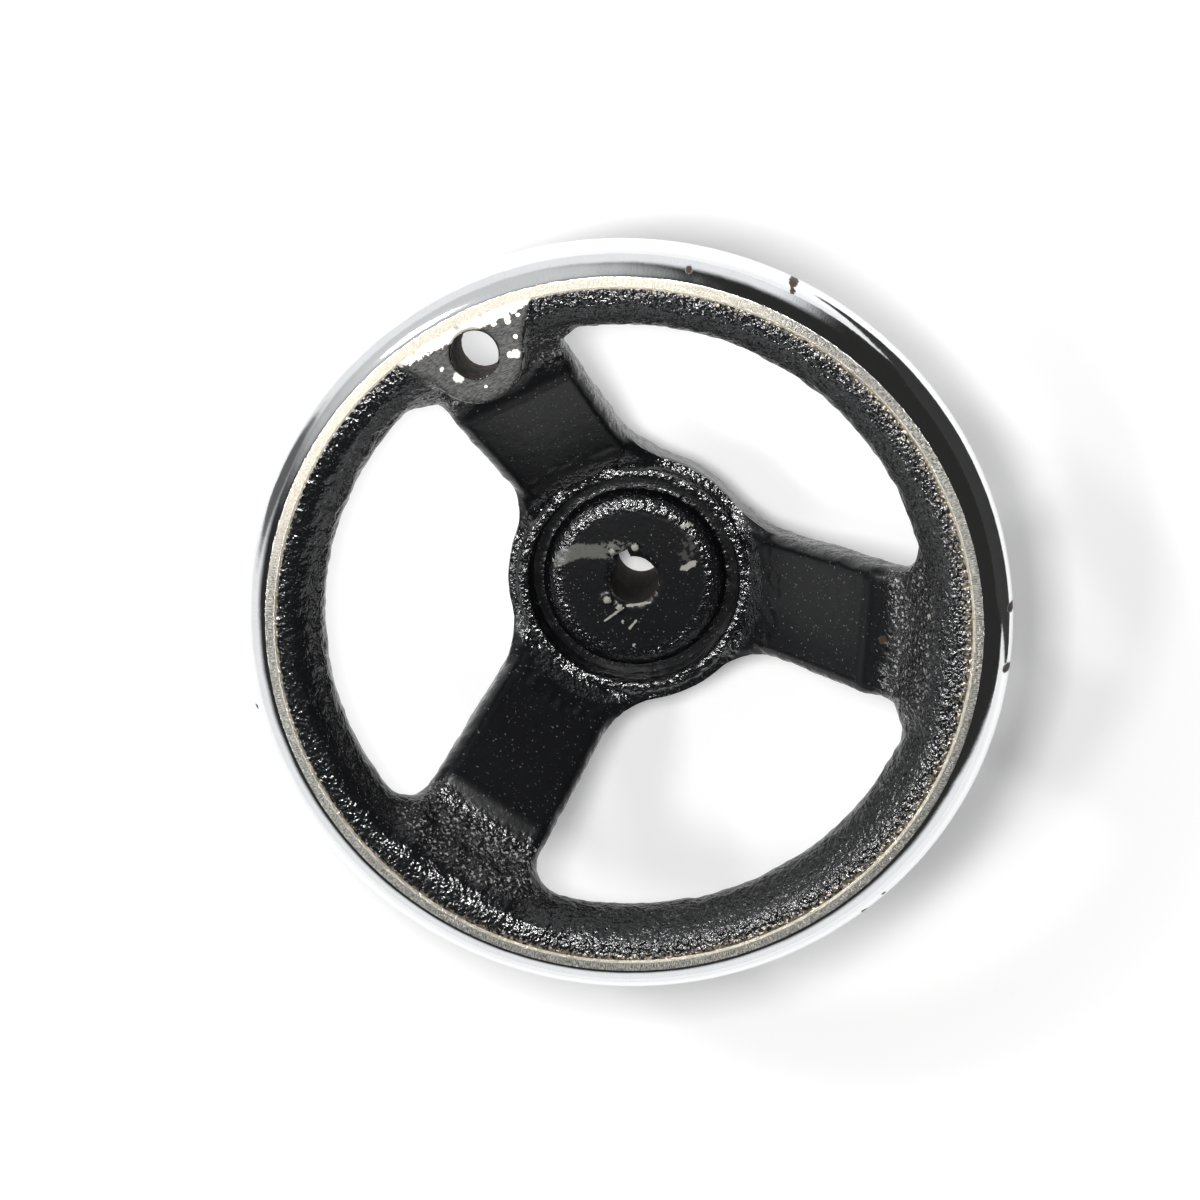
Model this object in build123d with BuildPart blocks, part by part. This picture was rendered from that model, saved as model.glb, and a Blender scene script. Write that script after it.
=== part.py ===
"""Dished three-arm handwheel: one iron casting, bored, keyed and turned.

Frame: millimetres, +Z along the bore towards the operator.  The origin is on
the bore axis in the plane of the hub's back face, and +X runs through the
handle hole, along the arm that carries it.
"""
from build123d import *
from math import asin, atan, cos, hypot, radians, sin, tan
import os

# ---- driving dimensions (mm, degrees) ----------------------------------------
wheel_diameter = 178.0        # over the turned rim
rim_section = 20.0            # thickness of the turned rim, front to back
rim_turning = 0.4             # the cast half of the rim stands this much lower
rim_land = 2.5                # flat turned ring at the crest of the rim

hub_length = 34.0             # bore length, back face to front boss face
dish_depth = 43.0             # hub front face to the middle plane of the rim
bore_diameter = 12.0
bore_chamfer = 0.6
keyway_width = 4.0
keyway_depth = 1.8            # beyond the bore wall
hub_back_diameter = 40.0      # flat back face of the hub
hub_back_chamfer = 1.5
barrel_length = 15.0          # back barrel of the hub, up to the cone
barrel_draft = 3.0
barrel_fillet = 6.0           # back barrel into the cone

boss_diameter = 46.0          # raised front boss
boss_edge = 4.5               # rounding of the front boss
boss_height = 5.6             # front boss above the groove round it
groove_width = 2.6            # floor of the groove round the front boss
bead_width = 3.8              # rounded bead outside the groove, at its foot
bead_top = 2.2                # the bead's width at its crest
bead_height = 7.4             # bead above the floor of the groove
bead_fillet = 0.9
ledge_drop = 3.0              # ledge outside the bead, below its crest
ledge_width = 1.8             # out to the windows
ledge_edge = 1.1              # rounding of the ledge at the windows
hub_wall = 9.0                # height of the hub body at the windows
hub_back_edge = 2.0           # rounding of the hub body behind the windows

arm_count = 3
arm_width = 29.4
arm_thickness = 9.5
arm_edge = 3.4                # rounding of the arm's long edges at the front
arm_back_edge = 2.4           # and at the back
arm_start = 2.8               # the arm's front leaves the hub this far outside the groove
arm_rise = 1.5                # front of the arm above the front boss, there
shelf_length = 23.0           # levelled end of the arm, in from the middle of the rim
shelf_drop = 11.0             # its inner end below the middle plane of the rim
shelf_slope = 24.0
shelf_bend = 9.0              # radius of that bend
ramp_start = 15.5             # where the shelf turns up, in from the middle of the rim
ramp_bend = 8.0
ramp_end = 6.5                # where the ramp ends inside the rim, in from its middle
ramp_height = 5.0             # and above it
edge_room = 0.95              # share of the arm's wall that its two roundings may take
hub_flare = 8.0               # arm side into the hub body
rim_flare = 6.0               # arm into the rim, all round
root_sink = 0.3               # how far the hub flares run into the hub
end_round = 5.0               # turn of the arm's side where it dips inside the hub

handle_inset = 7.0            # handle hole in from the middle of the rim
handle_hole = 10.5            # clearance for an M10 handle screw
handle_boss = 22.0            # round end of the flat handle pad
handle_spread = 27.0          # each side of the pad opens by this towards the rim
handle_edge = 1.2             # rounding of the pad's rim
handle_length = 19.0          # length of the handle hole
spot_face = 16.0              # seat at the back end of the handle hole
hole_chamfer = 0.5

near = 0.01                   # how closely edges and faces are picked out

# ---- derived sizes ---------------------------------------------------------------
rim_radius = rim_section / 2
rim_centre = wheel_diameter / 2 - rim_radius
rim_plane = hub_length + dish_depth
rim_crest = rim_plane + rim_radius
cast_radius = rim_radius - rim_turning
boss_radius = boss_diameter / 2
back_radius = hub_back_diameter / 2
groove_floor = hub_length - boss_height
bead_inner = boss_radius + groove_width
bead_outer = bead_inner + bead_width
hub_radius = bead_outer + ledge_width
bead_crest = groove_floor + bead_height
ledge_height = bead_crest - ledge_drop
cone_top = ledge_height - hub_wall        # where the cone behind the hub ends
barrel_radius = back_radius + barrel_length * tan(radians(barrel_draft))
cone_rate = (cone_top - barrel_length) / (hub_radius - barrel_radius)
handle_radius = rim_centre - handle_inset

shelf_start = rim_centre - shelf_length
shelf_rate = tan(radians(shelf_slope))
half_width = arm_width / 2
arm_front = (bead_inner + arm_start, hub_length + arm_rise)
bend = (shelf_start, rim_plane - shelf_drop)
arm_rate = (bend[1] - arm_front[1]) / (bend[0] - arm_front[0])
arm_back = (arm_front[0] + arm_thickness / sin(atan(arm_rate)), arm_front[1])


def line_height(point, rate, radius):
    """Height at a radius of the straight line through a point."""
    return point[1] + (radius - point[0]) * rate


def wall_behind(point):
    """How far a point of the side view stands off the back face of the arm."""
    return (point[1] - line_height(arm_back, arm_rate, point[0])) * cos(atan(arm_rate))


def is_back_edge(edge):
    """True on the back face of an arm that lies along +X."""
    return abs(edge.center().Z - line_height(arm_back, arm_rate, edge.center().X)) < near


def is_side(face):
    """True on the upright side faces of an arm that lies along +X."""
    return abs(face.normal_at().Z) < near and abs(face.center().Y) > near


def lies_on_tube(edge):
    """True where an edge follows the cast half of the rim."""
    return all(
        abs(hypot(hypot(point.X, point.Y) - rim_centre, point.Z - rim_plane) - cast_radius) < near
        for point in (edge @ 0, edge @ 0.5, edge @ 1)
    )


# ---- rim ----------------------------------------------------------------------------
# The inner half is as cast; the outer half and a narrow land are turned.
with BuildPart() as rim:
    with BuildSketch(Plane.XZ):
        with Locations((rim_centre, rim_plane)):
            Circle(cast_radius)
        with BuildLine():
            land_end = rim_centre + rim_land
            Line((rim_centre, rim_plane - rim_radius), (rim_centre, rim_crest))
            Line((rim_centre, rim_crest), (land_end, rim_crest))
            ThreePointArc(
                (land_end, rim_crest), (wheel_diameter / 2, rim_plane), (land_end, rim_plane - rim_radius),
            )
            Line((land_end, rim_plane - rim_radius), (rim_centre, rim_plane - rim_radius))
        make_face()
    revolve(axis=Axis.Z)

# ---- hub ----------------------------------------------------------------------------
with BuildPart() as hub:
    with BuildSketch(Plane.XZ) as hub_profile:
        bead_slope = (bead_width - bead_top) / 2
        bead_corner_in = (bead_inner + bead_slope, bead_crest)
        bead_corner_out = (bead_outer - bead_slope, bead_crest)
        bead_foot = (bead_outer, ledge_height)
        body_edge = (hub_radius, ledge_height)
        boss_corner = (boss_radius, hub_length)
        barrel_end = (barrel_radius, barrel_length)
        with BuildLine():
            Polyline(
                (0, 0), (back_radius, 0), barrel_end, (hub_radius, cone_top), body_edge,
                bead_foot, bead_corner_out, bead_corner_in, (bead_inner, groove_floor),
                (boss_radius, groove_floor), boss_corner, (0, hub_length), (0, 0),
            )
        make_face()
        for corner, radius in (
            (bead_corner_in, bead_fillet), (bead_corner_out, bead_fillet),
            (bead_foot, bead_fillet), (body_edge, ledge_edge), (boss_corner, boss_edge),
            (barrel_end, barrel_fillet), ((hub_radius, cone_top), hub_back_edge),
        ):
            fillet(hub_profile.vertices().sort_by_distance(corner)[0], radius)
    revolve(axis=Axis.Z)

# ---- one arm, lying along +X ----------------------------------------------------------
# Its side view is a bar that climbs, levels out and turns up into the rim.
# Both ends of the blank are buried in hub and rim.
arm_inner = bore_diameter
arm_outer = wheel_diameter / 2

with BuildPart() as arm:
    with BuildSketch(Plane.XZ) as side_view:
        ramp = (rim_centre - ramp_start, line_height(bend, shelf_rate, rim_centre - ramp_start))
        ramp_top = (rim_centre - ramp_end, rim_plane + ramp_height)
        to_rim = (rim_centre - arm_back[0] + (rim_plane - arm_back[1]) * arm_rate) / (1 + arm_rate**2)
        back_end = (arm_back[0] + to_rim, arm_back[1] + to_rim * arm_rate)
        inner_front = (arm_inner, line_height(arm_front, arm_rate, arm_inner))
        inner_back = (arm_inner, line_height(arm_back, arm_rate, arm_inner))
        with BuildLine():
            Polyline(inner_front, bend, ramp, ramp_top, back_end, inner_back, inner_front)
        make_face()
        for corner, radius in ((bend, shelf_bend), (ramp, ramp_bend)):
            fillet(side_view.vertices().sort_by_distance(corner)[0], radius)
    extrude(amount=2 * arm_width, both=True)

    # Seen along the bore it is a parallel strip, whose side curves round at the
    # hub to lie along it and then turns down inside it.
    with BuildSketch():
        hub_seat = hub_radius - root_sink
        hub_turn = asin((half_width + hub_flare) / (hub_seat + hub_flare))
        hub_side = ((hub_seat + hub_flare) * cos(hub_turn), half_width)
        hub_out = Vector(cos(hub_turn), sin(hub_turn))
        hub_along = Vector(-sin(hub_turn), cos(hub_turn))
        hub_turned = hub_out * (hub_seat - end_round) + hub_along * end_round
        inner_corner = hub_turned - hub_out * ((hub_turned.X - arm_inner) / hub_out.X)
        with BuildLine():
            Polyline((arm_inner, 0), inner_corner, hub_turned)
            RadiusArc(hub_turned, hub_out * hub_seat, end_round)
            RadiusArc(hub_out * hub_seat, hub_side, -hub_flare)
            Polyline(hub_side, (arm_outer, half_width), (arm_outer, 0), (arm_inner, 0))
        make_face()
        mirror(about=Plane.XZ)
    extrude(amount=rim_crest, both=True, mode=Mode.INTERSECT)

    # round the long edges, first at the front and then at the back
    arm_wall = min(wall_behind(ramp), wall_behind(ramp_top))
    edge_fit = min(1, edge_room * arm_wall / (arm_edge + arm_back_edge))
    for radius, at_back in ((edge_fit * arm_edge, False), (edge_fit * arm_back_edge, True)):
        long_edges = arm.faces().filter_by(is_side).edges().filter_by(Axis.Z, reverse=True)
        long_edges = long_edges.filter_by(lambda edge: abs(edge.center().Y) > half_width / 2)
        fillet(long_edges.filter_by(is_back_edge, reverse=not at_back), radius)

    # the hub's groove, back barrel and cone stay clear of the arm
    with BuildSketch(Plane.XZ):
        with Locations((0, groove_floor - root_sink)):
            Rectangle(bead_inner + bead_slope, boss_height + arm_rise, align=(Align.MIN, Align.MIN))
        cone_start = (barrel_radius, barrel_length + root_sink)
        clear_radius = hub_radius + hub_wall
        clear_inner = back_radius - root_sink
        with BuildLine():
            Polyline(
                (0, -rim_crest),
                (0, barrel_length),
                (clear_inner, line_height(cone_start, cone_rate, clear_inner)),
                (clear_radius, line_height(cone_start, cone_rate, clear_radius)),
                (clear_radius, -rim_crest),
                (0, -rim_crest),
            )
        make_face()
    revolve(axis=Axis.Z, mode=Mode.SUBTRACT)

# ---- handle pad: a round boss whose sides open out to the crest of the rim ------------------
with BuildPart() as pad:
    with BuildSketch(Plane.XY.offset(rim_crest)):
        pad_turn = radians(handle_spread)
        pad_round = handle_boss / 2
        pad_side = (handle_radius - pad_round * sin(pad_turn), pad_round * cos(pad_turn))
        pad_end = rim_centre + rim_land / 2
        pad_corner = (pad_end, line_height(pad_side, tan(pad_turn), pad_end))
        with Locations((handle_radius, 0)):
            Circle(pad_round)
        with BuildLine():
            Polyline((handle_radius, 0), pad_side, pad_corner, (pad_end, 0), (handle_radius, 0))
        make_face()
        mirror(about=Plane.XZ)
    extrude(amount=-handle_length)
    pad_rim = pad.faces().sort_by(Axis.Z)[-1].edges().filter_by(lambda edge: edge.center().X < rim_centre)
    fillet(pad_rim, handle_edge)
    with BuildSketch():
        Circle(pad_end)
    extrude(amount=rim_crest, mode=Mode.INTERSECT)

# ---- the casting, machined --------------------------------------------------------------
with BuildPart() as handwheel:
    add(rim)
    with PolarLocations(0, arm_count):
        add(arm)
    seams = handwheel.edges().filter_by(lies_on_tube).filter_by(GeomType.CIRCLE, reverse=True)
    fillet(seams, min(rim_flare, arm_wall))
    add(hub)
    add(pad)

    # handle hole, with a seat cut into the slope behind it
    with Locations((handle_radius, 0, rim_crest)):
        Hole(handle_hole / 2, depth=handle_length + hole_chamfer)
    with BuildSketch(Plane.XY.offset(rim_crest - handle_length)):
        with Locations((handle_radius, 0)):
            Circle(spot_face / 2)
    extrude(amount=-rim_section, mode=Mode.SUBTRACT)

    # bore and keyway
    with Locations((0, 0, hub_length)):
        Hole(bore_diameter / 2)
    with BuildSketch():
        Rectangle(bore_diameter / 2 + keyway_depth, keyway_width, align=(Align.MIN, Align.CENTER))
    extrude(amount=hub_length, mode=Mode.SUBTRACT)

    rims = handwheel.edges().filter_by(GeomType.CIRCLE)
    chamfer(rims.filter_by(lambda edge: abs(edge.radius - bore_diameter / 2) < near), bore_chamfer)
    rims = handwheel.edges().filter_by(GeomType.CIRCLE)
    chamfer(rims.filter_by(lambda edge: abs(edge.radius - handle_hole / 2) < near), hole_chamfer)
    rims = handwheel.edges().filter_by(GeomType.CIRCLE)
    chamfer(rims.filter_by(lambda edge: abs(edge.radius - back_radius) < near), hub_back_chamfer)

handwheel.part.label = "handwheel"
os.makedirs("parts", exist_ok=True)
export_step(handwheel.part, "parts/handwheel.step")
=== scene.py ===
"""Looks of the dished handwheel: black painted casting, bright turned rim.

The shape is worked out here as a distance field in millimetres, in the frame
of the CAD part (+Z along the bore, +X through the handle hole), turned into a
mesh, and given to Blender in metres.
"""

import bpy
import numpy as np
from math import asin, atan, atan2, cos, pi, radians, sin, tan
from mathutils import Matrix, Vector, noise


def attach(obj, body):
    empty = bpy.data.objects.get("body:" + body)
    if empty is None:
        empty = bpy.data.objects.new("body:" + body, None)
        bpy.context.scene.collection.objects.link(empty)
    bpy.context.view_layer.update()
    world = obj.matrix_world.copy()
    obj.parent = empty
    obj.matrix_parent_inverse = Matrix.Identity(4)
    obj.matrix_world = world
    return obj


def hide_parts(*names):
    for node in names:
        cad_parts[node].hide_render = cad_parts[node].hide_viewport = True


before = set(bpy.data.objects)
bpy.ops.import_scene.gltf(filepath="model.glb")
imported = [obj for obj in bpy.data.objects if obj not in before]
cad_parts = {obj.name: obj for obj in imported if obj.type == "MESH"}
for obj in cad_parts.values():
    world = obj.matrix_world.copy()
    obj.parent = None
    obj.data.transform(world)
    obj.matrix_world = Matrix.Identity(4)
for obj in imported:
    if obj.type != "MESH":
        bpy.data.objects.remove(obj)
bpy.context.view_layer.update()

MM = 0.001

# ---- sizes of the casting, in millimetres and degrees ------------------------
WHEEL_RADIUS = 89.0
RIM_RADIUS = 10.0             # section of the turned rim
RIM_CENTRE = WHEEL_RADIUS - RIM_RADIUS
RIM_PLANE = 77.0              # height of the rim's middle
RIM_CREST = RIM_PLANE + RIM_RADIUS
RIM_LAND = 2.5                # flat turned ring at the crest
RIM_CHAMFER = 0.5             # on its inner edge
LAND_WIDTH = 2.85             # from that chamfer to the plated arc
LAND_ROLL = 0.29              # how far the land rolls over on the way there
CAST_RADIUS = 9.6             # section of the unturned inner half
CAST_FLANK = (82.0, 76.0, 12.0)   # flatter arc on its inside: radius and height of its centre, arc radius

HUB_LENGTH = 34.0
BORE_RADIUS = 6.0
BORE_CHAMFER = 0.6
KEYWAY_WIDTH = 4.0
KEYWAY_TOP = 7.8              # from the bore axis
BOSS_RADIUS = 23.0
BOSS_EDGE = 4.5
GROOVE_FLOOR = 28.4
GROOVE_OUTER = 25.6
BEAD_OUTER = 29.4
BEAD_CREST = 35.8
LEDGE = 32.8
HUB_RADIUS = 31.5
HUB_WALL = 11.0
BACK_RADIUS = 20.0
BACK_CHAMFER = 1.5
BARREL_RADIUS = 20.8
BARREL_LENGTH = 15.0

ARM_COUNT = 3
ARM_HALF = 15.3
ARM_SPREAD = 0.7              # how much wider each side is at the rim
ARM_THICKNESS = 10.5
ARM_FRONT = (28.4, 35.5)      # where the arm's front leaves the hub: radius, height
ARM_BEND = (56.0, 66.0)       # where it levels out
ARM_EDGE = 3.4                # rounding of its long edges
SHELF_SLOPE = tan(radians(24))
RAMP_START = 15.5             # where it turns up again, in from the rim's middle
RAMP_TOP = (6.5, 5.0)         # end of that ramp, in from the rim's middle and above it
HUB_FLARE = 8.0               # rounding where an arm's side meets the hub
RIM_FLARE = (6.0, 10.0)       # where the arm's faces and its sides meet the rim

HANDLE_RADIUS = 72.0
HANDLE_HOLE = 5.25
PAD_ROUND = 11.0
PAD_SPREAD = radians(27)
PAD_EDGE = 1.0
PAD_FOOT = 2.5
HANDLE_LENGTH = 19.0
SPOT_FACE = 8.0
HOLE_CHAMFER = 0.5

# ---- marks, as x, y and size on the front --------------------------------------
STRIP = ((13.4, 16.2), (12.8, 9.2), (10.4, 4.6), (9.4, 0.2))    # the scrape across the boss
BURRS = ((7.5, -4.1, 1.1), (-1.5, 8.2, 1.2), (-4.6, 6.4, 0.9), (9.2, 1.4, 0.8))   # round the bore
BARE_DOTS = (                           # chips and rubbed burrs on the boss
    (-15.0, 7.4, 0.5), (-8.4, 7.3, 0.35), (-1.5, 8.2, 1.0), (-4.6, 6.4, 0.8), (7.5, -4.1, 1.0),
    (9.0, 1.6, 0.8),
)
BARE_STROKES = (                        # and scratches: from, to, width, raggedness
    ((6.6, -20.0), (7.0, -17.2), 0.55, 0.4), ((-2.6, -15.4), (-2.6, -12.4), 0.8, 0.4),
    ((-6.2, 11.2), (-5.2, 5.6), 0.28, 0.15), ((-10.6, 6.4), (-9.6, 4.2), 0.3, 0.2),
    ((-5.2, 4.3), (-6.9, -1.2), 0.3, 0.2),
)
PLATING_CHIPS = (                       # what is left of the plating on the handle's seat
    (68.2, -8.3, 1.05), (68.5, -7.2, 0.8), (69.1, 5.5, 1.3), (69.8, 4.3, 0.9), (72.3, 8.1, 0.5),
    (76.1, -10.3, 0.8), (75.3, -10.0, 0.7), (71.6, -10.0, 0.5), (73.9, -14.7, 0.5), (76.2, -6.9, 0.7),
    (64.6, 1.0, 0.3), (75.6, -12.6, 0.4),
)
RIM_PITS = (
    (67.7, -50.5, 0.8), (54.7, -69.5, 1.1), (53.4, -68.6, 0.7), (-33.0, -82.0, 1.3), (-45.4, -75.2, 1.2),
    (-85.6, -21.0, 1.0), (-12.0, 88.0, 0.9), (21.0, 85.0, 0.6), (-83.0, -27.0, 0.5),
)

# ---- meshes --------------------------------------------------------------------
GRID_STEP = 0.86              # of the casting's mesh
SKIN = ((0.25, 9, 0), (0.2, 3.4, 40), (0.22, 1.9, 90))     # foundry skin: height, size, place in the noise
RIM_STEPS = 720               # round the rim


# ---- distance fields -----------------------------------------------------------
def rounded_outline(corners):
    """Closed outline through corners (u, v, radius), each turned by an arc."""
    outline = []
    count = len(corners)
    for i, (u, v, radius) in enumerate(corners):
        here = np.array((u, v))
        before = np.array(corners[i - 1][:2]) - here
        after = np.array(corners[(i + 1) % count][:2]) - here
        before /= np.linalg.norm(before)
        after /= np.linalg.norm(after)
        if radius == 0:
            outline.append(here)
            continue
        half = np.arccos(np.clip(before @ after, -1, 1)) / 2
        middle = (before + after) / np.linalg.norm(before + after)
        centre = here + middle * radius / sin(half)
        start = here + before * radius / tan(half) - centre
        end = here + after * radius / tan(half) - centre
        turn = atan2(start[0] * end[1] - start[1] * end[0], start @ end)
        for share in np.linspace(0, 1, 9):
            c, s = cos(turn * share), sin(turn * share)
            outline.append(centre + (start[0] * c - start[1] * s, start[0] * s + start[1] * c))
    return np.array(outline)


def outline_distance(outline, u, v):
    """Signed distance to a closed outline, negative inside."""
    best = np.full(u.shape, 1e9)
    inside = np.zeros(u.shape, bool)
    for a, b in zip(outline, np.roll(outline, -1, axis=0)):
        edge = b - a
        length = edge @ edge
        if length < 1e-12:
            continue
        share = np.clip(((u - a[0]) * edge[0] + (v - a[1]) * edge[1]) / length, 0, 1)
        best = np.minimum(best, (u - a[0] - share * edge[0]) ** 2 + (v - a[1] - share * edge[1]) ** 2)
        crosses = (a[1] > v) != (b[1] > v)
        if edge[1] != 0:
            inside ^= crosses & (u < a[0] + edge[0] * (v - a[1]) / edge[1])
    return np.where(inside, -1, 1) * np.sqrt(best)


class Section:
    """Distance to an outline, tabulated over its box and read by interpolation."""

    STEP = 0.2
    MARGIN = 6.0

    def __init__(self, corners):
        outline = rounded_outline(corners)
        self.low = outline.min(axis=0) - self.MARGIN
        high = outline.max(axis=0) + self.MARGIN
        counts = np.ceil((high - self.low) / self.STEP).astype(int) + 2
        u = self.low[0] + self.STEP * np.arange(counts[0])
        v = self.low[1] + self.STEP * np.arange(counts[1])
        self.table = outline_distance(outline, *np.meshgrid(u, v, indexing="ij"))

    def __call__(self, u, v):
        last = np.array(self.table.shape) - 2
        s = (u - self.low[0]) / self.STEP
        t = (v - self.low[1]) / self.STEP
        s_in = np.clip(s, 0, last[0] + 0.999)
        t_in = np.clip(t, 0, last[1] + 0.999)
        i = s_in.astype(np.int32)
        j = t_in.astype(np.int32)
        fs = s_in - i
        ft = t_in - j
        table = self.table
        inside = (table[i, j] * (1 - fs) + table[i + 1, j] * fs) * (1 - ft)
        inside = inside + (table[i, j + 1] * (1 - fs) + table[i + 1, j + 1] * fs) * ft
        return inside + np.hypot(s - s_in, t - t_in) * self.STEP


def join(a, b, radius):
    """Union of two fields with a concave rounding between them."""
    bite = np.hypot(np.maximum(radius - a, 0), np.maximum(radius - b, 0))
    return np.maximum(radius, np.minimum(a, b)) - bite


def overlap(a, b, radius):
    """Intersection of two fields with a convex rounding between them."""
    push = np.hypot(np.maximum(radius + a, 0), np.maximum(radius + b, 0))
    return np.minimum(-radius, np.maximum(a, b)) + push


def line_height(point, rate, radius):
    return point[1] + (radius - point[0]) * rate


CONE_TOP = LEDGE - HUB_WALL
ARM_RATE = (ARM_BEND[1] - ARM_FRONT[1]) / (ARM_BEND[0] - ARM_FRONT[0])
ARM_BACK = (ARM_FRONT[0] + ARM_THICKNESS / sin(atan(ARM_RATE)), ARM_FRONT[1])
RAMP_RADIUS = RIM_CENTRE - RAMP_START

hub_section = Section([
    (-30, 0, 0), (BACK_RADIUS - BACK_CHAMFER, 0, 0), (BACK_RADIUS, BACK_CHAMFER, 0),
    (BARREL_RADIUS, BARREL_LENGTH, 6.0), (HUB_RADIUS, CONE_TOP, 2.0), (HUB_RADIUS, LEDGE, 1.1),
    (BEAD_OUTER, LEDGE, 0.9), (BEAD_OUTER - 0.8, BEAD_CREST, 0.9), (GROOVE_OUTER + 0.8, BEAD_CREST, 0.9),
    (GROOVE_OUTER, GROOVE_FLOOR, 0), (BOSS_RADIUS, GROOVE_FLOOR, 0), (BOSS_RADIUS, HUB_LENGTH, BOSS_EDGE),
    (-30, HUB_LENGTH, 0),
])
arm_section = Section([
    (10, line_height(ARM_FRONT, ARM_RATE, 10), 0),
    (*ARM_BEND, 9.0),
    (RAMP_RADIUS, line_height(ARM_BEND, SHELF_SLOPE, RAMP_RADIUS), 8.0),
    (RIM_CENTRE - RAMP_TOP[0], RIM_PLANE + RAMP_TOP[1], 0),
    (RIM_CENTRE, line_height(ARM_BACK, ARM_RATE, RIM_CENTRE), 0),
    (10, line_height(ARM_BACK, ARM_RATE, 10), 0),
])


def casting(p):
    """Distance from the points p (n, 3) to the surface of the raw casting."""
    x, y, z = p[:, 0], p[:, 1], p[:, 2]
    radius = np.hypot(x, y)
    # fold the arms onto the one along +X
    pitch = 2 * pi / ARM_COUNT
    angle = np.arctan2(y, x)
    angle = angle - pitch * np.round(angle / pitch)
    along = radius * np.cos(angle)
    across = np.abs(radius * np.sin(angle))
    half = ARM_HALF + ARM_SPREAD * np.clip((along - 40) / 30, 0, 1)

    tube = np.hypot(radius - RIM_CENTRE, z - RIM_PLANE) - CAST_RADIUS
    tube = np.maximum(tube, np.hypot(radius - CAST_FLANK[0], z - CAST_FLANK[1]) - CAST_FLANK[2])
    hub = hub_section(radius, z)
    arm = overlap(arm_section(along, z), across - half, ARM_EDGE)

    # the arm's sides sweep into the hub and the rim, its faces meet them more tightly
    side = np.clip((across - half + 6) / 6, 0, 1)
    cone = (line_height((BARREL_RADIUS, BARREL_LENGTH), 0.85, radius) - z) * 0.76
    body = np.maximum(radius - HUB_RADIUS, np.maximum(z - LEDGE, cone))
    root = join(body, arm, 1.5 + (HUB_FLARE - 1.5) * side)
    root = np.maximum(root, np.minimum(GROOVE_OUTER + 0.8 - radius, z - GROOVE_FLOOR + 1))
    shape = join(root, hub, 0.8)
    side = side * np.clip((RIM_PLANE + 3 - z) / 6, 0, 1)
    shape = join(shape, tube, RIM_FLARE[0] + (RIM_FLARE[1] - RIM_FLARE[0]) * side)
    for burr_x, burr_y, size in BURRS:
        burr = np.sqrt((x - burr_x) ** 2 + (y - burr_y) ** 2 + (1.6 * (z - HUB_LENGTH)) ** 2) - size
        shape = join(shape, burr, 0.4)

    px = x - HANDLE_RADIUS
    py = np.abs(y)
    flank = py * cos(PAD_SPREAD) - px * sin(PAD_SPREAD) - PAD_ROUND
    plan = np.where(px * cos(PAD_SPREAD) + py * sin(PAD_SPREAD) > 0, flank, np.hypot(px, py) - PAD_ROUND)
    plan = np.maximum(plan, radius - RIM_CENTRE - 1)
    pad = overlap(np.maximum(plan, RIM_CREST - HANDLE_LENGTH - z), z - RIM_CREST, PAD_EDGE)
    return join(shape, pad, PAD_FOOT)


def body_field(p):
    """The black part of the wheel, machined, inside the turned half of the rim."""
    x, y, z = p[:, 0], p[:, 1], p[:, 2]
    radius = np.hypot(x, y)
    flare = np.clip(np.maximum(z - HUB_LENGTH, -z) + BORE_CHAMFER, 0, 2 * BORE_CHAMFER)
    bore = radius - BORE_RADIUS - flare
    keyway = np.maximum(np.abs(y) - KEYWAY_WIDTH / 2, np.maximum(-x, x - KEYWAY_TOP))
    from_hole = np.hypot(x - HANDLE_RADIUS, y)
    low = RIM_CREST - HANDLE_LENGTH
    flare = np.clip(np.maximum(z - RIM_CREST, low - z) + HOLE_CHAMFER, 0, 2 * HOLE_CHAMFER)
    hole = from_hole - HANDLE_HOLE - flare
    seat = np.maximum(from_hole - SPOT_FACE, z - low)
    cuts = np.minimum(np.minimum(bore, keyway), np.minimum(hole, seat))
    return np.maximum(np.maximum(casting(p), -cuts), radius - RIM_CENTRE - 0.4)


# ---- mesh from a field ------------------------------------------------------------
def gradient(field, p, reach=0.01):
    slope = np.empty_like(p)
    for axis in range(3):
        step = np.zeros(3)
        step[axis] = reach
        slope[:, axis] = field(p + step) - field(p - step)
    return slope / np.maximum(np.linalg.norm(slope, axis=1), 1e-9)[:, None]


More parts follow.
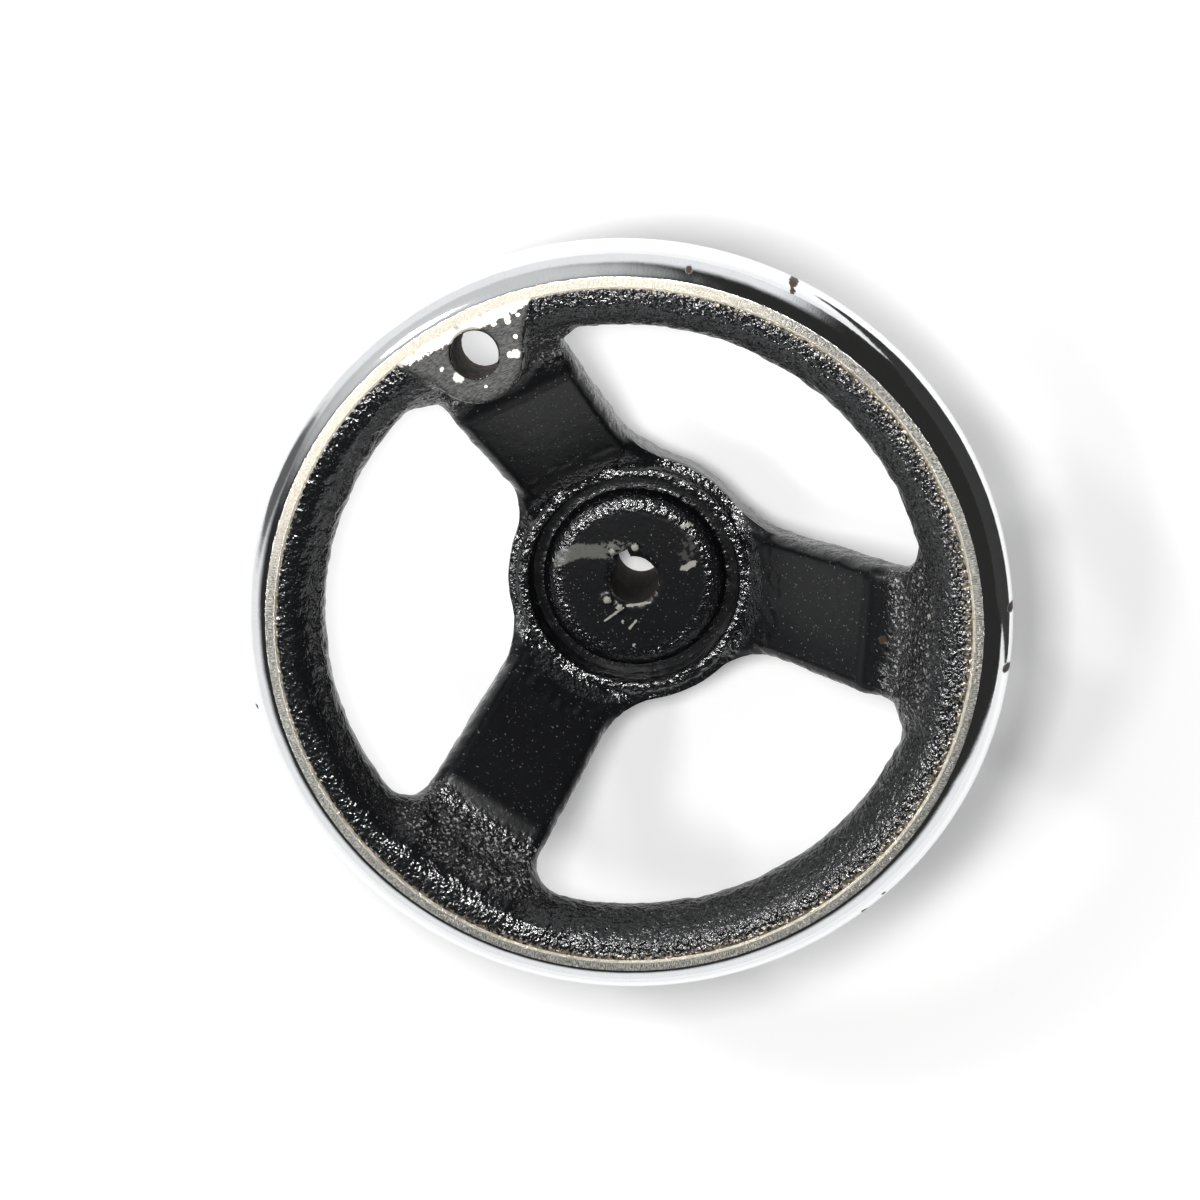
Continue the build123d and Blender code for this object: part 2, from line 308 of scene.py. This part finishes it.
def contour(field, low, high, step):
    """Vertices and quads of the field's zero surface, keeping its sharp edges."""
    low = np.array(low)
    counts = np.ceil((np.array(high) - low) / step).astype(int) + 1
    axes = [low[i] + step * np.arange(counts[i]) for i in range(3)]
    values = np.empty(counts)
    y, z = np.meshgrid(axes[1], axes[2], indexing="ij")
    for i, x in enumerate(axes[0]):
        values[i] = field(np.stack((np.full(y.size, x), y.ravel(), z.ravel()), axis=1)).reshape(y.shape)
    inside = values < 0

    # where the surface crosses the grid's edges, and which way it faces there
    total = np.zeros(counts - 1, np.int8)
    for corner in np.ndindex(2, 2, 2):
        total += inside[tuple(slice(c, n - 1 + c) for c, n in zip(corner, counts))]
    cells = np.argwhere((total > 0) & (total < 8))
    number = np.full(counts - 1, -1, np.int64)
    number[tuple(cells.T)] = np.arange(len(cells))
    sums = np.zeros((len(cells), 13))
    faces = []
    for axis in range(3):
        one = np.eye(3, dtype=int)[axis]
        first = inside[tuple(slice(0, n - d) for n, d in zip(counts, one))]
        second = inside[tuple(slice(d, n) for n, d in zip(counts, one))]
        start = np.argwhere(first != second)
        a, b = values[tuple(start.T)], values[tuple((start + one).T)]
        left, right = np.zeros(len(a)), np.ones(len(a))
        fa, fb = a.copy(), b.copy()
        for _ in range(3):
            share = left + (right - left) * fa / (fa - fb)
            share = np.clip(share, left + 0.02 * (right - left), right - 0.02 * (right - left))
            point = low + step * (start + share[:, None] * one)
            f = field(point)
            same = (f < 0) == (fa < 0)
            left, fa = np.where(same, share, left), np.where(same, f, fa)
            right, fb = np.where(same, right, share), np.where(same, fb, f)
        share = left + (right - left) * fa / (fa - fb)
        point = low + step * (start + share[:, None] * one)
        face_way = gradient(field, point)
        offset = (face_way * point).sum(axis=1)
        nx, ny, nz = face_way.T
        rows = np.stack((nx * nx, nx * ny, nx * nz, ny * ny, ny * nz, nz * nz,
                         nx * offset, ny * offset, nz * offset, *point.T, np.ones(len(nx))), axis=1)
        u, v = (axis + 1) % 3, (axis + 2) % 3
        ring = []
        for du, dv in ((0, 0), (-1, 0), (-1, -1), (0, -1)):
            cell = start.copy()
            cell[:, u] += du
            cell[:, v] += dv
            index = number[tuple(cell.T)]
            ring.append(index)
            for column in range(13):
                sums[:, column] += np.bincount(index, rows[:, column], len(cells))
        ring = np.stack(ring, axis=1)
        outward = a < 0
        ring[~outward] = ring[~outward][:, ::-1]
        faces.append(ring)

    # each cell's vertex is the point nearest to all its tangent planes
    middle = sums[:, 9:12] / sums[:, 12:]
    square = sums[:, [0, 1, 2, 1, 3, 4, 2, 4, 5]].reshape(-1, 3, 3)
    rest = sums[:, 6:9] - np.einsum("nij,nj->ni", square, middle)
    weight, way = np.linalg.eigh(square)
    keep = weight > 0.08 * weight[:, 2:]
    along = np.einsum("nji,nj->ni", way, rest) * np.where(keep, 1 / np.maximum(weight, 1e-9), 0)
    place = middle + np.einsum("nij,nj->ni", way, along)
    corner = low + step * cells
    place = np.clip(place, corner, corner + step)
    return place, np.concatenate(faces)


def lumps(place, size):
    """Smooth noise with bumps of the given size."""
    return np.array([noise.noise(Vector(p)) for p in place / size])


def body_mesh():
    step = GRID_STEP
    low = (-80.31, -80.32, -1.13)
    place, faces = contour(body_field, low, (80.6, 80.6, 88.3), step)

    # the foundry skin is uneven, least on the faces of the arms; what a tool has cut is not
    radius = np.hypot(place[:, 0], place[:, 1])
    from_hole = np.hypot(place[:, 0] - HANDLE_RADIUS, place[:, 1])
    z = place[:, 2]
    tooled = (z > RIM_CREST - 1.3) | (z < 1.6) | (radius < BORE_RADIUS + 2) | (radius > RIM_CENTRE)
    tooled |= from_hole < HANDLE_HOLE + 1
    tooled |= (from_hole < SPOT_FACE + 0.5) & (z < RIM_CREST - HANDLE_LENGTH + 0.5)
    facing = gradient(body_field, place)
    plain = np.clip((facing[:, 2] - 0.45) / 0.15, 0, 1) * ((radius > 36) & (radius < 61) | (radius < 18))
    rough = np.where(tooled, 0, 1 - 0.9 * plain) * np.where(radius < 34, 0.4, 1)
    swell = sum(high * lumps(place + shift, size) for high, size, shift in SKIN)
    place = place + facing * (rough * swell)[:, None]
    place[:, 2] = np.clip(place[:, 2], 0, RIM_CREST)
    mesh = bpy.data.meshes.new("cast_body")
    mesh.from_pydata(place * MM, [], faces.tolist())
    mesh.validate()
    mesh.shade_smooth()
    mesh.set_sharp_from_angle(angle=radians(40))
    return mesh


def rim_mesh():
    """The turned half of the rim, a closed ring."""
    land = RIM_CENTRE + RIM_LAND
    reach = WHEEL_RADIUS - land
    arc = (RIM_RADIUS ** 2 + reach ** 2) / (2 * reach)
    centre = WHEEL_RADIUS - arc
    half = asin((RIM_RADIUS - LAND_ROLL) / arc)
    profile = [(RIM_CENTRE, RIM_CREST - 1.2), (RIM_CENTRE, RIM_CREST - RIM_CHAMFER),
               (RIM_CENTRE + RIM_CHAMFER, RIM_CREST)]
    for share in (0.3, 0.5, 0.65, 0.8, 0.9):
        profile.append((RIM_CENTRE + RIM_CHAMFER + share * LAND_WIDTH, RIM_CREST - LAND_ROLL * share ** 4))
    for turn in np.linspace(half, -half, 41):
        profile.append((centre + arc * cos(turn), RIM_PLANE + arc * sin(turn)))
    low = RIM_PLANE - RIM_RADIUS
    profile += [(RIM_CENTRE + 0.1, low), (RIM_CENTRE, low + 0.1), (RIM_CENTRE, low + 0.6)]
    vertices = []
    faces = []
    count = len(profile)
    for i in range(RIM_STEPS):
        turn = 2 * pi * i / RIM_STEPS
        vertices += [(r * cos(turn) * MM, r * sin(turn) * MM, z * MM) for r, z in profile]
        for j in range(count):
            a, b = i * count, (i + 1) % RIM_STEPS * count
            k = (j + 1) % count
            faces.append((a + j, a + k, b + k, b + j))
    mesh = bpy.data.meshes.new("turned_rim")
    mesh.from_pydata(vertices, [], faces)
    mesh.validate()
    mesh.shade_smooth()
    mesh.set_sharp_from_angle(angle=radians(35))
    return mesh


def add_piece(mesh, materials):
    piece = bpy.data.objects.new(mesh.name, mesh)
    bpy.context.scene.collection.objects.link(piece)
    for material in materials:
        mesh.materials.append(material)
    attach(piece, "root")
    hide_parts("handwheel")
    return piece


# ---- materials -----------------------------------------------------------------------
class Nodes:
    """Short hand for wiring a material or the world, with places in millimetres."""

    def __init__(self, owner, shader):
        self.tree = owner.node_tree
        self.shader = self.tree.nodes[shader]

    @classmethod
    def material(cls, name):
        material = bpy.data.materials.new(name)
        material.use_nodes = True
        n = cls(material, "Principled BSDF")
        n.place = n.vector("SCALE", n.add("ShaderNodeTexCoord").outputs["Object"], scale=1 / MM)
        n.x, n.y, n.z = n.parts(n.place)
        square = n.math("ADD", n.math("MULTIPLY", n.x, n.x), n.math("MULTIPLY", n.y, n.y))
        n.radius = n.math("SQRT", square)
        n.facing = n.parts(n.add("ShaderNodeNewGeometry").outputs["Normal"])[2]
        n.result = material
        return n

    def add(self, kind, **settings):
        node = self.tree.nodes.new(kind)
        for key, value in settings.items():
            setattr(node, key, value)
        return node

    def feed(self, socket, value):
        if isinstance(value, bpy.types.NodeSocket):
            self.tree.links.new(value, socket)
        else:
            socket.default_value = value

    def set(self, name, value):
        self.feed(self.shader.inputs[name], value)

    def math(self, operation, a, b=0.0, c=0.0):
        node = self.add("ShaderNodeMath", operation=operation)
        for socket, value in zip(node.inputs, (a, b, c)):
            self.feed(socket, value)
        return node.outputs[0]

    def vector(self, operation, a, b=(0, 0, 0), scale=1.0):
        node = self.add("ShaderNodeVectorMath", operation=operation)
        self.feed(node.inputs[0], a)
        self.feed(node.inputs[1], b)
        self.feed(node.inputs[3], scale)
        return node.outputs["Value" if operation in ("DOT_PRODUCT", "DISTANCE", "LENGTH") else "Vector"]

    def parts(self, vector):
        node = self.add("ShaderNodeSeparateXYZ")
        self.feed(node.inputs[0], vector)
        return node.outputs

    def joined(self, x, y, z):
        node = self.add("ShaderNodeCombineXYZ")
        for socket, value in zip(node.inputs, (x, y, z)):
            self.feed(socket, value)
        return node.outputs[0]

    def noise(self, size, detail=2.0, roughness=0.5, vector=None):
        """Noise from 0 to 1 with features about size millimetres across."""
        node = self.add("ShaderNodeTexNoise")
        node.inputs["Scale"].default_value = 1 / size
        node.inputs["Detail"].default_value = detail
        node.inputs["Roughness"].default_value = roughness
        self.feed(node.inputs["Vector"], vector or self.place)
        return node.outputs["Fac"]

    def ramp(self, value, low, high, start=0.0, end=1.0):
        """start below low, end above high, smooth between."""
        node = self.add("ShaderNodeMapRange", interpolation_type="SMOOTHSTEP", clamp=True)
        for socket, setting in zip(node.inputs, (value, low, high, start, end)):
            self.feed(socket, setting)
        return node.outputs["Result"]

    def between(self, value, low, high, soft):
        """1 from low to high, 0 outside."""
        begun = self.ramp(value, low - soft, low + soft)
        return self.math("MULTIPLY", begun, self.ramp(value, high - soft, high + soft, 1, 0))

    def either(self, *masks):
        result = masks[0]
        for mask in masks[1:]:
            result = self.math("MAXIMUM", result, mask)
        return result

    def both(self, *masks):
        result = masks[0]
        for mask in masks[1:]:
            result = self.math("MULTIPLY", result, mask)
        return result

    def mix(self, factor, a, b):
        node = self.add("ShaderNodeMix", data_type="RGBA")
        for socket, value in zip((node.inputs["Factor"], node.inputs[6], node.inputs[7]), (factor, a, b)):
            self.feed(socket, value)
        return node.outputs[2]

    def blend(self, factor, a, b):
        first = self.math("MULTIPLY", self.math("SUBTRACT", 1.0, factor), a)
        return self.math("ADD", first, self.math("MULTIPLY", factor, b))

    def bump(self, height, strength, distance, normal=None):
        node = self.add("ShaderNodeBump")
        self.feed(node.inputs["Height"], height)
        self.feed(node.inputs["Strength"], strength)
        node.inputs["Distance"].default_value = distance * MM
        if normal:
            self.feed(node.inputs["Normal"], normal)
        return node.outputs["Normal"]

    def stroke(self, start, end, width, ragged=0.4):
        """1 within width of the line between two points (x, y) of the front."""
        flat = self.joined(self.x, self.y, 0)
        run = Vector((end[0] - start[0], end[1] - start[1], 0))
        away = self.vector("SUBTRACT", flat, (*start, 0))
        share = self.math("DIVIDE", self.vector("DOT_PRODUCT", away, run), run.length_squared)
        share = self.math("MINIMUM", self.math("MAXIMUM", share, 0.0), 1.0)
        nearest = self.vector("SCALE", run, scale=share)
        gap = self.vector("DISTANCE", away, nearest)
        wander = self.math("MULTIPLY", self.math("SUBTRACT", self.noise(0.9, 3.0, 0.65), 0.5), 4 * ragged)
        return self.ramp(self.math("ADD", gap, wander), width * 0.8, width * 1.1, 1, 0)

    def dot(self, x, y, size, ragged=0.4):
        """1 within size of a point of the front."""
        gap = self.vector("DISTANCE", self.joined(self.x, self.y, 0), (x, y, 0))
        wander = self.math("MULTIPLY", self.math("SUBTRACT", self.noise(0.8, 3.0, 0.65), 0.5), 4 * ragged)
        return self.ramp(self.math("ADD", gap, wander), size * 0.75, size * 1.1, 1, 0)


def black_casting():
    n = Nodes.material("black_casting")
    on_front = n.ramp(n.z, HUB_LENGTH - 0.6, HUB_LENGTH - 0.3)
    from_hole = n.vector("DISTANCE", n.joined(n.x, n.y, 0), (HANDLE_RADIUS, 0, 0))

    # the paint: smooth on the flats, grainy and glossier on roundings, ramps and the rim
    flat_on = n.ramp(n.facing, 0.45, 0.6)
    walls = n.both(n.ramp(n.radius, 30, 33), n.ramp(n.facing, 0.3, 0.55, 0.75, 0))
    grainy = n.either(n.between(n.radius, 17.8, 23.4, 1.2), n.between(n.radius, 26.0, 31.8, 0.5),
                      n.ramp(n.radius, 59, 65), walls)
    seat = n.both(n.ramp(n.z, RIM_CREST - 0.2, RIM_CREST - 0.1), n.ramp(from_hole, 26, 27, 1, 0))
    grain = n.noise(1.25, 1.8, 0.55)
    calm_side = n.math("DIVIDE", n.vector("DOT_PRODUCT", n.place, (0.135, 0.991, 0)), n.radius)
    smoother = n.ramp(calm_side, 0.2, 0.7)
    smoother = n.both(smoother, n.ramp(n.radius, 60, 66))
    near_hub = n.ramp(n.radius, 31, 34, 0.62, 1)
    depth = n.blend(grainy, 0.05, n.both(near_hub, n.blend(smoother, 1.0, 0.45)))
    skin = n.bump(grain, n.blend(seat, depth, 0.08), 0.85)
    specks = n.both(flat_on, n.ramp(n.noise(0.55, 1.0, 0.5), 0.71, 0.74))
    paint = n.mix(n.noise(12.0, 3.0), (0.003, 0.0032, 0.004, 1), (0.0065, 0.0068, 0.0076, 1))
    colour = n.mix(specks, paint, (0.16, 0.16, 0.155, 1))
    # pale dots on the ramps where the arms rise to the rim: painted glints, standing in for the sparkle of
    # the grainy paint
    ramp_glints = n.both(n.between(n.radius, 62.5, 70.5, 1.2), n.ramp(n.facing, 0.25, 0.5),
                       n.ramp(n.noise(0.8, 2.0, 0.6), 0.57, 0.64))
    colour = n.mix(ramp_glints, colour, (0.34, 0.335, 0.32, 1))
    rough = n.blend(grainy, 0.28, 0.18)

    # bare grains and tan overspray where the paint runs out towards the turned rim; the band is drawn much
    # wider on the side whose inner slope faces the lamps, where it is partly a painted highlight
    toward_lit_side = n.math("DIVIDE", n.vector("DOT_PRODUCT", n.place, (-0.836, -0.548, 0)), n.radius)
    reach = n.ramp(toward_lit_side, -0.9, 0.9, 0.8, 4.2)
    near_rim = n.math("DIVIDE", n.math("SUBTRACT", RIM_CENTRE + 0.2, n.radius), reach)
    on_rim = n.both(n.ramp(n.z, RIM_PLANE + 4, RIM_PLANE + 7), n.ramp(from_hole, 13, 15))
    grit = n.math("MULTIPLY", n.math("SUBTRACT", n.noise(0.95, 3.0, 0.65), 0.5), 3.0)
    overspray_and_sheen = n.both(on_rim, n.ramp(n.math("ADD", near_rim, grit), -0.1, 0.45, 1, 0))
    colour = n.mix(n.math("MULTIPLY", overspray_and_sheen, 0.8), colour, (0.36, 0.31, 0.24, 1))
    metal = n.math("MULTIPLY", overspray_and_sheen, 0.75)
    rough = n.blend(overspray_and_sheen, rough, 0.32)

    # a brown lump on the arm to the right
    lump = n.both(n.dot(-31.3, -51.7, 1.1), n.ramp(n.facing, 0.1, 0.3))
    colour = n.mix(lump, colour, (0.045, 0.03, 0.018, 1))

    # the handle's seat, turned bare and worn grey, with what is left of its bright plating
    drawn_out = n.joined(n.math("MULTIPLY", n.x, 3.2), n.math("MULTIPLY", n.y, 0.7), n.z)
    scratches = n.noise(0.7, 3.0, 0.7, drawn_out)
    worn = n.mix(n.ramp(scratches, 0.3, 0.75), (0.012, 0.0125, 0.012, 1), (0.13, 0.13, 0.125, 1))
    colour = n.mix(seat, colour, worn)
    metal = n.blend(seat, metal, 0.15)
    rough = n.blend(seat, rough, 0.5)
    wander = n.math("MULTIPLY", n.math("SUBTRACT", n.noise(1.3, 4.0, 0.65), 0.5), 3.5)
    bright_from = n.math("ADD", 76.6, wander)
    plated = n.ramp(n.math("SUBTRACT", n.x, bright_from), -0.15, 0.15)
    for x, y, size in PLATING_CHIPS:
        plated = n.either(plated, n.dot(x, y, size, 0.25))
    plated = n.both(seat, plated)
    colour = n.mix(plated, colour, (0.9, 0.83, 0.72, 1))
    metal = n.blend(plated, metal, 0.6)
    rough = n.blend(plated, rough, 0.3)

    # the handle's hole: dark, brown with rust lower down; the bore: dull steel with a brown streak
    in_hole = n.both(n.ramp(from_hole, HANDLE_HOLE + 0.35, HANDLE_HOLE + 0.6, 1, 0),
                     n.ramp(n.z, RIM_CREST - 0.5, RIM_CREST - 0.25, 1, 0))
    rusty = n.ramp(n.noise(2.6, 4.0, 0.65), 0.42, 0.62)
    rust = n.mix(rusty, (0.006, 0.005, 0.005, 1), (0.07, 0.045, 0.026, 1))
    colour = n.mix(in_hole, colour, rust)
    rough = n.blend(in_hole, rough, 0.85)
    in_bore = n.ramp(n.radius, KEYWAY_TOP + 0.3, KEYWAY_TOP + 0.5, 1, 0)
    in_bore = n.both(in_bore, n.ramp(n.z, HUB_LENGTH - 0.45, HUB_LENGTH - 0.2, 1, 0))
    stained = n.ramp(n.noise(3.5, 4.0, 0.6), 0.45, 0.65)
    steel = n.mix(stained, (0.028, 0.028, 0.028, 1), (0.05, 0.034, 0.022, 1))
    colour = n.mix(in_bore, colour, steel)
    metal = n.blend(in_bore, metal, 0.0)
    rough = n.blend(in_bore, rough, 0.8)

    # wear on the boss: a scraped strip, chips, scratches, rubbed burrs
    scraped = n.either(n.stroke(STRIP[0], STRIP[1], 2.0, 0.35), n.stroke(STRIP[1], STRIP[2], 1.9, 0.5),
                       n.both(n.stroke(STRIP[2], STRIP[3], 2.1, 0.8), n.ramp(grain, 0.42, 0.52)))
    bare = n.either(*(n.stroke(*mark) for mark in BARE_STROKES), *(n.dot(*mark) for mark in BARE_DOTS))
    dull = n.both(n.stroke((2.6, -16.6), (-0.4, -14.0), 2.0, 0.8), n.ramp(grain, 0.45, 0.6))
    brushed = n.joined(n.math("MULTIPLY", n.x, 2.6), n.math("MULTIPLY", n.y, 0.6), n.z)
    tooth = n.noise(0.5, 3.0, 0.7, brushed)
    strip_grey = n.mix(tooth, (0.03, 0.03, 0.028, 1), (0.15, 0.15, 0.137, 1))
    colour = n.mix(n.both(on_front, scraped), colour, strip_grey)
    colour = n.mix(n.both(on_front, dull), colour, (0.05, 0.05, 0.048, 1))
    on_boss = n.both(on_front, n.ramp(n.radius, 22, 23, 1, 0))
    colour = n.mix(n.both(on_boss, bare), colour, (0.3, 0.29, 0.26, 1))
    rough = n.blend(n.both(on_boss, n.either(scraped, bare)), rough, 0.45)

    n.set("Base Color", colour)
    n.set("Metallic", metal)
    n.set("Roughness", rough)
    on_tube = n.ramp(n.radius, 66, 67.5, 1, n.ramp(n.radius, 72, 77, 0.45, 1))
    gloss = n.both(grainy, n.math("SUBTRACT", 1.0, seat), on_tube)
    n.set("Specular IOR Level", n.blend(gloss, 0.28, 1.0))
    n.set("Normal", skin)
    return n.result


def bright_plating():
    n = Nodes.material("bright_plating")
    turn = n.math("ARCTAN2", n.y, n.x)
    land = n.both(n.ramp(n.radius, RIM_CENTRE + RIM_LAND - 0.1, RIM_CENTRE + RIM_LAND + 0.25, 1, 0),
                  n.ramp(n.z, RIM_CREST - 2, RIM_CREST - 1))
    # the chamfer on the land's inner edge, coloured cream below as a painted highlight
    edge = n.both(land, n.ramp(n.radius, RIM_CENTRE + 0.55, RIM_CENTRE + 0.75, 1, 0))
    around = n.joined(n.math("MULTIPLY", turn, 300.0), n.math("MULTIPLY", n.radius, 0.9),
                      n.math("MULTIPLY", n.z, 0.9))
    strokes = n.noise(0.9, 3.0, 0.65, around)
    haze = n.noise(7.0, 4.0, 0.6)
    clean = n.mix(haze, (0.80, 0.81, 0.82, 1), (0.90, 0.905, 0.91, 1))
    clean = n.mix(n.both(n.ramp(strokes, 0.58, 0.74), 0.3), clean, (0.45, 0.45, 0.44, 1))
    turned = n.mix(n.ramp(strokes, 0.35, 0.65), (0.15, 0.145, 0.13, 1), (0.62, 0.60, 0.55, 1))
    colour = n.mix(land, clean, turned)
    # painted highlight: the land turns cream and less metallic towards +X, where the far lamp's highlight
    # falls, and the chamfer is cream all round
    land_highlight = n.both(land, n.ramp(n.math("DIVIDE", n.x, n.radius), 0.45, 0.9))
    colour = n.mix(n.either(edge, n.math("MULTIPLY", land_highlight, 0.9)), colour, (0.95, 0.88, 0.74, 1))
    pits = n.ramp(n.noise(1.1, 3.0, 0.7), 0.74, 0.78)
    for x, y, size in RIM_PITS:
        pits = n.either(pits, n.dot(x, y, size, 0.35))
    colour = n.mix(pits, colour, (0.07, 0.045, 0.032, 1))
    rough = n.blend(land, n.blend(haze, 0.05, 0.11), 0.36)
    rough = n.blend(pits, rough, 0.6)
    n.set("Base Color", colour)
    n.set("Metallic", n.math("SUBTRACT", n.ramp(pits, 0.2, 0.8, 1, 0.2), n.math("MULTIPLY", land_highlight, 0.65)))
    n.set("Roughness", rough)
    waves = n.bump(n.noise(14.0, 2.0), 0.35, 0.5)
    scored = n.math("ADD", strokes, n.noise(0.6, 2.0, 0.6))
    n.set("Normal", n.bump(scored, n.blend(land, 0.03, 0.9), 0.4, waves))
    return n.result


# ---- floor, lights, camera -------------------------------------------------------------
IMAGE_RIGHT = Vector((-0.449331, -0.890579, -0.070507))
IMAGE_DOWN = Vector((-0.871044, 0.419205, 0.256025))
CAMERA_PLACE = Vector((0.110995, -0.089557, 0.577438))
LENS = 67.56                                   # mm, on a sensor 36 mm wide
RIGHT = Vector((-0.450451, -0.892801, 0))      # the picture's right and up, laid on the floor
UP = Vector((0.892801, -0.450451, 0))

DARK = (0.026, 0.026, 0.025, 1)                # the card and the dark parts of the studio
PALE = (0.92, 0.93, 0.94, 1)                   # its bright parts
FLOOR_REACH = 3.0
CARD_REACH = 0.195                             # from the bore's axis
CARD_HEIGHT = 0.11


def build_floor():
    mesh = bpy.data.meshes.new("floor")
    corners = [(x * FLOOR_REACH, y * FLOOR_REACH, 0) for x, y in ((-1, -1), (1, -1), (1, 1), (-1, 1))]
    mesh.from_pydata(corners, [], [(0, 1, 2, 3)])
    floor = bpy.data.objects.new("floor", mesh)
    bpy.context.scene.collection.objects.link(floor)
    n = Nodes.material("white_table")
    n.set("Base Color", (0.93, 0.93, 0.925, 1))
    n.set("Roughness", 0.7)
    n.set("Emission Color", (1, 1, 1, 1))
    path = n.add("ShaderNodeLightPath").outputs
    seen = n.math("MAXIMUM", path["Is Camera Ray"], path["Is Glossy Ray"])
    lift = n.math("ADD", n.ramp(n.radius, 115, 260, 0.2, 0.5), n.ramp(n.radius, 300, 1200, 0, 0.35))
    n.set("Emission Strength", n.math("MULTIPLY", seen, lift))
    mesh.materials.append(n.result)


def build_dark_card():
    """A low black card beside the wheel, lower at its ends, which only reflections see."""
    vertices = []
    for degrees in range(-14, 59, 4):
        turn = atan2(RIGHT.y, RIGHT.x) + radians(degrees)
        top = CARD_HEIGHT * min(1, (degrees + 18) / 16, (62 - degrees) / 26)
        x, y = CARD_REACH * cos(turn), CARD_REACH * sin(turn)
        vertices += [(x, y, 0), (x, y, top)]
    faces = [(i, i + 2, i + 3, i + 1) for i in range(0, len(vertices) - 2, 2)]
    mesh = bpy.data.meshes.new("dark_card")
    mesh.from_pydata(vertices, [], faces)
    card = bpy.data.objects.new("dark_card", mesh)
    bpy.context.scene.collection.objects.link(card)
    card.visible_camera = False
    card.visible_diffuse = False
    card.visible_transmission = False
    card.visible_shadow = False
    n = Nodes.material("black_cloth")
    n.set("Base Color", DARK)
    n.set("Roughness", 0.9)
    mesh.materials.append(n.result)


def add_light(name, right, up, height, size, level):
    """A lamp that by itself would show a white floor under the wheel at this level."""
    place = RIGHT * right + UP * up + Vector((0, 0, height))
    data = bpy.data.lights.new(name, "AREA")
    data.shape = "RECTANGLE"
    data.size, data.size_y = size
    data.energy = level * pi ** 2 * place.length_squared * place.length / height
    lamp = bpy.data.objects.new(name, data)
    bpy.context.scene.collection.objects.link(lamp)
    lamp.matrix_world = Matrix.Translation(place) @ Matrix(axes_toward(place)).transposed().to_4x4()


def axes_toward(place):
    """Right, up and back of something at this place that looks at the wheel's foot."""
    back = place.normalized()
    right = UP.cross(back).normalized()
    return right, back.cross(right), back


def build_lights():
    add_light("overhead_lamp", right=-0.01, up=0.11, height=0.46, size=(0.06, 0.06), level=0.56)
    add_light("left_softbox", right=-0.32, up=0.03, height=0.75, size=(0.09, 0.12), level=0.2)
    add_light("far_softbox", right=-0.75, up=0.67, height=1.0, size=(0.13, 0.13), level=0.11)

    world = bpy.data.worlds.new("studio")
    world.use_nodes = True
    bpy.context.scene.world = world
    n = Nodes(world, "Background")
    way = n.add("ShaderNodeTexCoord").outputs["Generated"]
    rise = n.parts(way)[2]
    low = n.ramp(rise, 0.30, 0.54, 1, 0)

    def beyond(right, up, height, least, soft):
        """1 in the directions that lie on this side of a plane."""
        side = (RIGHT * right + UP * up + Vector((0, 0, height))).normalized()
        return n.ramp(n.vector("DOT_PRODUCT", way, side), least - soft, least + soft)

    # dark to the right, a dark spot low at the left, a soft light at the far left
    dark_side = n.both(beyond(0.315, 0.791, 0.524, -0.06, 0.05), beyond(0.866, -0.5, 0, 0.05, 0.12))
    low = n.both(low, n.math("SUBTRACT", 1.0, dark_side))
    dark_spot = n.math("MULTIPLY", beyond(-0.965, 0.15, 0.21, 0.975, 0.01), 0.88)
    low = n.both(low, n.math("SUBTRACT", 1.0, dark_spot))
    low = n.math("MAXIMUM", low, n.math("MULTIPLY", beyond(-0.5, 0.6, 0.62, 0.86, 0.1), 0.7))
    colour = n.mix(low, DARK, PALE)
    seen = n.add("ShaderNodeLightPath").outputs["Is Camera Ray"]
    n.set("Color", n.mix(seen, colour, (1, 1, 1, 1)))


def build_camera():
    data = bpy.data.cameras.new("camera")
    data.sensor_width = 36
    data.lens = LENS
    data.clip_start = 0.01
    camera = bpy.data.objects.new("camera", data)
    bpy.context.scene.collection.objects.link(camera)
    back = -IMAGE_RIGHT.cross(IMAGE_DOWN)
    axes = Matrix((IMAGE_RIGHT, -IMAGE_DOWN, back)).transposed().to_4x4()
    camera.matrix_world = Matrix.Translation(CAMERA_PLACE) @ axes
    bpy.context.scene.camera = camera


add_piece(body_mesh(), [black_casting()])
add_piece(rim_mesh(), [bright_plating()])
build_floor()
build_dark_card()
build_lights()
build_camera()
bpy.context.scene.view_settings.view_transform = "Standard"
